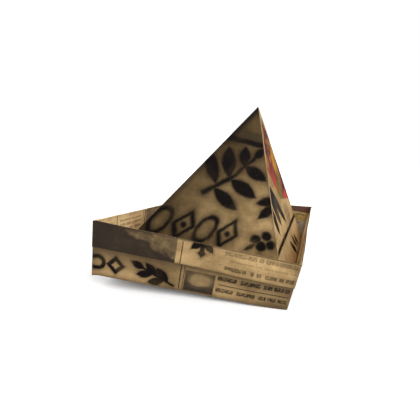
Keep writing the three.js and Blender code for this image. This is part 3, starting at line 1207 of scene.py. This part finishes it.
def front_inner_design(press, paper):
    """Inside the front brim: long slanting strokes and a dark band along the fold."""
    ink = press.largest(press.marks(FRONT_INNER_MARKS), press.words(FRONT_INNER_WORDS))
    # Painted light: the paper is made paler inside the front brim, where the crown and the brims shade it.
    paper = press.blend(1.0, paper, FRONT_INNER_PAINTED_LIGHT, "MULTIPLY")
    u, v = press.uv()
    band = press.fade(u, 6.0, 7.0) * press.fade(v, 50.2, 51.2)
    return press.blend(band * 0.9, paper, BAND_RED), ink


CROWN_RULES = (
    Block(u=-190, v=150.0, to_u=190, to_v=151.0),
    Block(u=-190, v=154.0, to_u=190, to_v=156.5),
    Block(u=-190, v=112.0, to_u=190, to_v=113.0),
    Block(u=30.0, v=52, to_u=30.8, to_v=111),
    Block(u=-78.8, v=52, to_u=-78.0, to_v=111),
)

CROWN_WORDS = (
    *columns_of_words(34, 150, low=20.0, high=108.0, width=34, pitch=3.6, strength=0.8),
    *columns_of_words(-150, -82, low=20.0, high=108.0, width=30, pitch=3.6, strength=0.8),
    Words(u=-130, v=118.0, to_u=-30, to_v=146.0, pitch=14.0, word=30.0, strength=0.95),
    Words(u=30, v=118.0, to_u=130, to_v=146.0, pitch=14.0, word=34.0, strength=0.95),
)


def crown_design(press, paper):
    """The crown's back: headings worn to grey, columns of words, and a picture on the left."""
    ink = press.largest(press.marks(CROWN_RULES), press.words(CROWN_WORDS))
    tone = murky_hills(press, 50.0, 110.0, seed=14.0, darkness=0.85)
    picture = Block(u=-75, v=52, to_u=-18, to_v=108)
    return screened_picture(press, paper, ink, picture, tone)


PLAIN_RULES = (
    Block(u=-190, v=154.0, to_u=190, to_v=155.0),
    Block(u=-190, v=170.0, to_u=190, to_v=172.0),
)

PLAIN_WORDS = (
    *columns_of_words(-184, -10, low=6.0, high=150.0, width=40, pitch=3.8, strength=0.62),
    *columns_of_words(12, 184, low=6.0, high=150.0, width=40, pitch=3.8, strength=0.62),
)


def plain_columns_design(press, paper):
    """The inner faces: columns of small words and thin rules."""
    return paper, press.largest(press.marks(PLAIN_RULES), press.words(PLAIN_WORDS))


BACK_BRIM_MARKS = (
    Block(u=-60.8, v=1.5, to_u=-60.0, to_v=27),
    Block(u=64.0, v=1.5, to_u=64.8, to_v=27),
    Block(u=-186, v=22.5, to_u=-64, to_v=23.2),
    Leaf(u=-20, v=8, to_u=-38, to_v=18, half_width=3.8),
    Leaf(u=-20, v=8, to_u=-2, to_v=18, half_width=3.8),
    Bar(u=-20, v=4, to_u=-20, to_v=19, half_width=1.1),
    Lozenge(u=36, v=13, radius_u=8.0, radius_v=8.0, line=2.6),
)

BACK_BRIM_WORDS = (
    *columns_of_words(-186, -66, low=3.0, high=21.0, width=36, pitch=3.3, strength=0.8),
    Words(u=68, v=5.0, to_u=186, to_v=21.0, pitch=8.0, word=19.0, strength=0.9),
)


def back_brim_design(press, paper):
    """The lower half of the back brim: a leafy sprig, a lozenge and worn words."""
    ink = press.largest(press.marks(BACK_BRIM_MARKS), press.words(BACK_BRIM_WORDS))
    return shaded_below_cuff(press, paper), ink


BACK_CUFF_RULES = (
    Block(u=-34.8, v=26, to_u=-34.0, to_v=52),
    Block(u=106.0, v=26, to_u=106.8, to_v=52),
)

BACK_CUFF_WORDS = (
    Words(u=-186, v=43.5, to_u=-40, to_v=50.5, pitch=7.0, word=20.0, strength=0.92),
    *columns_of_words(-186, -40, low=29.0, high=41.0, width=44, pitch=3.4, strength=0.8),
    *columns_of_words(112, 186, low=29.0, high=50.0, width=34, pitch=3.4, strength=0.8),
)


def back_cuff_design(press, paper):
    """The back cuff: a wide dim landscape between columns of worn words."""
    ink = press.largest(press.marks(BACK_CUFF_RULES), press.words(BACK_CUFF_WORDS))
    tone = murky_hills(press, 26.0, 54.0, seed=31.0, darkness=0.95)
    picture = Block(u=-30, v=20, to_u=102, to_v=60)
    return screened_picture(press, soiled_top_fold(press, paper), ink, picture, tone)


Look = namedtuple("Look", "design toning seed")
PANELS = {
    "crown_outside": Look(crown_design, toning=0.3, seed=2.0),
    "crown_inside": Look(plain_columns_design, toning=0.35, seed=3.0),
    "flap_inside": Look(plain_columns_design, toning=0.3, seed=4.0),
    "left_flap_outside": Look(left_flap_design, toning=0.4, seed=4.0),
    "right_flap_outside": Look(right_flap_design, toning=0.32, seed=6.0),
    "cuff_inside": Look(plain_columns_design, toning=0.3, seed=8.0),
    "front_brim_outside": Look(front_brim_design, toning=0.45, seed=9.0),
    # The brims' insides, front_brim_inside and back_brim_inside, are toned paler as painted light where they
    # lie in shade.
    "front_brim_inside": Look(front_inner_design, toning=-0.3, seed=11.0),
    "front_cuff_outside": Look(front_cuff_design, toning=0.25, seed=13.0),
    "back_brim_outside": Look(back_brim_design, toning=0.45, seed=10.0),
    "back_brim_inside": Look(back_inner_design, toning=-0.3, seed=12.0),
    "back_cuff_outside": Look(back_cuff_design, toning=0.25, seed=14.0),
}


def panel_material(name, colours):
    """A panel of printed newsprint; its design gives the coloured paper and the ink."""
    look = PANELS[name]
    material = empty_material(name)
    press = Press(material.node_tree, colours)
    paper, fibres = bare_paper(press, look.toning, look.seed)
    paper, ink = look.design(press, paper)
    finish_paper(press, paper, ink, fibres)
    return material


class PAPERHAT_OT_crown(bpy.types.Operator):
    """Fold the four-sided crown"""

    bl_idname = "paperhat.crown"
    bl_label = "Crown"

    def execute(self, context):
        sizes = context.scene.hat_sizes
        colours = context.scene.paper_colours
        piece = build_crown(sizes)
        outside = panel_material("crown_outside", colours)
        inside = panel_material("crown_inside", colours)
        dress(piece, outside, inside, raw_edge_material("crown_edge", colours))
        thicken(piece, sizes.sheet)
        hand_over(piece, "crown_paper", "crown")
        return {"FINISHED"}


class PAPERHAT_OT_flaps(bpy.types.Operator):
    """Fold the two corners that meet at the front crease"""

    bl_idname = "paperhat.flaps"
    bl_label = "Flaps"

    def execute(self, context):
        sizes = context.scene.hat_sizes
        colours = context.scene.paper_colours
        inside = panel_material("flap_inside", colours)
        edge = raw_edge_material("flap_edge", colours)
        for name, hand in (("left_flap", -1), ("right_flap", 1)):
            piece = build_flap(sizes, name + "_paper", hand)
            dress(piece, panel_material(name + "_outside", colours), inside, edge)
            thicken(piece, sizes.sheet)
            hand_over(piece, "flap_paper", name)
        return {"FINISHED"}


class PAPERHAT_OT_brims(bpy.types.Operator):
    """Fold the front and back brims with their turned-down cuffs"""

    bl_idname = "paperhat.brims"
    bl_label = "Brims"

    def execute(self, context):
        sizes = context.scene.hat_sizes
        colours = context.scene.paper_colours
        hidden = panel_material("cuff_inside", colours)
        edge = raw_edge_material("brim_edge", colours)
        for side in ("front", "back"):
            piece = build_brim(sizes, side + "_brim_paper", side == "back")
            wall = panel_material(side + "_brim_outside", colours)
            inner = panel_material(side + "_brim_inside", colours)
            cuff = panel_material(side + "_cuff_outside", colours)
            dress(piece, wall, inner, edge, hidden, cuff, edge)
            thicken(piece, sizes.sheet)
            hand_over(piece, "brim_paper", side + "_brim", side + "_cuff")
        return {"FINISHED"}


FLOOR_REACH = 40.0
FLOOR_DROP = 0.15 * MM


def build_floor():
    mesh = bpy.data.meshes.new("floor")
    bm = bmesh.new()
    bmesh.ops.create_grid(bm, x_segments=1, y_segments=1, size=FLOOR_REACH)
    bmesh.ops.translate(bm, verts=bm.verts, vec=(0.0, 0.0, -FLOOR_DROP))
    bm.to_mesh(mesh)
    bm.free()
    floor = bpy.data.objects.new("floor", mesh)
    bpy.context.scene.collection.objects.link(floor)
    material = empty_material("pale_floor")
    Nodes(material.node_tree).surface({"Base Color": (0.95, 0.95, 0.95), "Roughness": 0.9})
    dress(floor, material)
    floor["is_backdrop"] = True


def build_world(daylight):
    """White to look at, and an even light on the hat from all round."""
    world = bpy.data.worlds.new("white_room")
    bpy.context.scene.world = world
    world.use_nodes = True
    world.node_tree.nodes.clear()
    nodes = Nodes(world.node_tree)
    white = (1.0, 1.0, 1.0)
    seen = nodes.answer("ShaderNodeBackground", {"Color": white, "Strength": 1.0})
    given = nodes.answer("ShaderNodeBackground", {"Color": white, "Strength": daylight})
    by_camera = nodes.answer("ShaderNodeLightPath", output="Is Camera Ray")
    either = nodes.answer("ShaderNodeMixShader", {0: by_camera, 1: given, 2: seen})
    nodes.add("ShaderNodeOutputWorld", {"Surface": either})


def direction(azimuth, elevation):
    """Towards that azimuth and elevation; azimuth 0 is the front."""
    flat = math.cos(elevation)
    return Vector((math.sin(azimuth) * flat, -math.cos(azimuth) * flat, math.sin(elevation)))


def build_sun(stage):
    """A very wide soft light, the same all over the floor."""
    light = bpy.data.lights.new("soft_light", "SUN")
    light.energy = stage.sun
    light.angle = stage.sun_spread
    holder = bpy.data.objects.new("soft_light", light)
    towards = direction(stage.sun_azimuth, stage.sun_elevation)
    holder.location = towards
    holder.rotation_euler = towards.to_track_quat("Z", "Y").to_euler()
    bpy.context.scene.collection.objects.link(holder)


def build_camera(stage):
    back = direction(stage.azimuth, stage.elevation)
    level = Vector((math.cos(stage.azimuth), math.sin(stage.azimuth), 0.0))
    upright = back.cross(level)
    right = math.cos(stage.roll) * level + math.sin(stage.roll) * upright
    up = math.cos(stage.roll) * upright - math.sin(stage.roll) * level
    target = Vector((0.0, 0.0, stage.target_height))
    eye = target + back * stage.distance + right * stage.slide_right + up * stage.slide_up
    lens = bpy.data.cameras.new("camera")
    lens.sensor_width = 36.0
    lens.lens = lens.sensor_width * stage.focal_share
    lens.clip_start = 10 * MM
    camera = bpy.data.objects.new("camera", lens)
    camera.matrix_world = Matrix.Translation(eye) @ Matrix((right, up, back)).transposed().to_4x4()
    bpy.context.scene.collection.objects.link(camera)
    bpy.context.scene.camera = camera


class PAPERHAT_OT_stage(bpy.types.Operator):
    """Set the plain floor, the soft light and the camera"""

    bl_idname = "paperhat.stage"
    bl_label = "Stage"

    def execute(self, context):
        stage = context.scene.hat_stage
        build_floor()
        build_world(stage.daylight)
        build_sun(stage)
        build_camera(stage)
        context.scene.view_settings.view_transform = "Standard"
        return {"FINISHED"}


OPERATORS = (PAPERHAT_OT_stage, PAPERHAT_OT_crown, PAPERHAT_OT_flaps, PAPERHAT_OT_brims)
SETTINGS = {"hat_sizes": HatSizes, "paper_colours": PaperColours, "hat_stage": StageSettings}


class PAPERHAT_PT_panel(bpy.types.Panel):
    """Lists the hat's sizes, colours and makers"""

    bl_idname = "PAPERHAT_PT_panel"
    bl_label = "Folded Paper Hat"
    bl_space_type = "VIEW_3D"
    bl_region_type = "UI"
    bl_category = "Paper Hat"

    def draw(self, context):
        for settings in SETTINGS:
            box = self.layout.box()
            group = getattr(context.scene, settings)
            for name in group.__annotations__:
                box.prop(group, name)
        for operator in OPERATORS:
            self.layout.operator(operator.bl_idname)


def register():
    for group in (*SETTINGS.values(), *OPERATORS, PAPERHAT_PT_panel):
        bpy.utils.register_class(group)
    for name, group in SETTINGS.items():
        setattr(bpy.types.Scene, name, bpy.props.PointerProperty(type=group))


def unregister():
    for name in SETTINGS:
        delattr(bpy.types.Scene, name)
    for group in reversed((*SETTINGS.values(), *OPERATORS, PAPERHAT_PT_panel)):
        bpy.utils.unregister_class(group)


def main():
    register()
    bpy.ops.paperhat.stage()
    bpy.ops.paperhat.crown()
    bpy.ops.paperhat.flaps()
    bpy.ops.paperhat.brims()
    boxes = {"cad": CAD_BOUNDS, "visual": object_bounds()}
    boxes = {name: [list(corner) for corner in box] for name, box in boxes.items()}


if __name__ == "__main__":
    main()
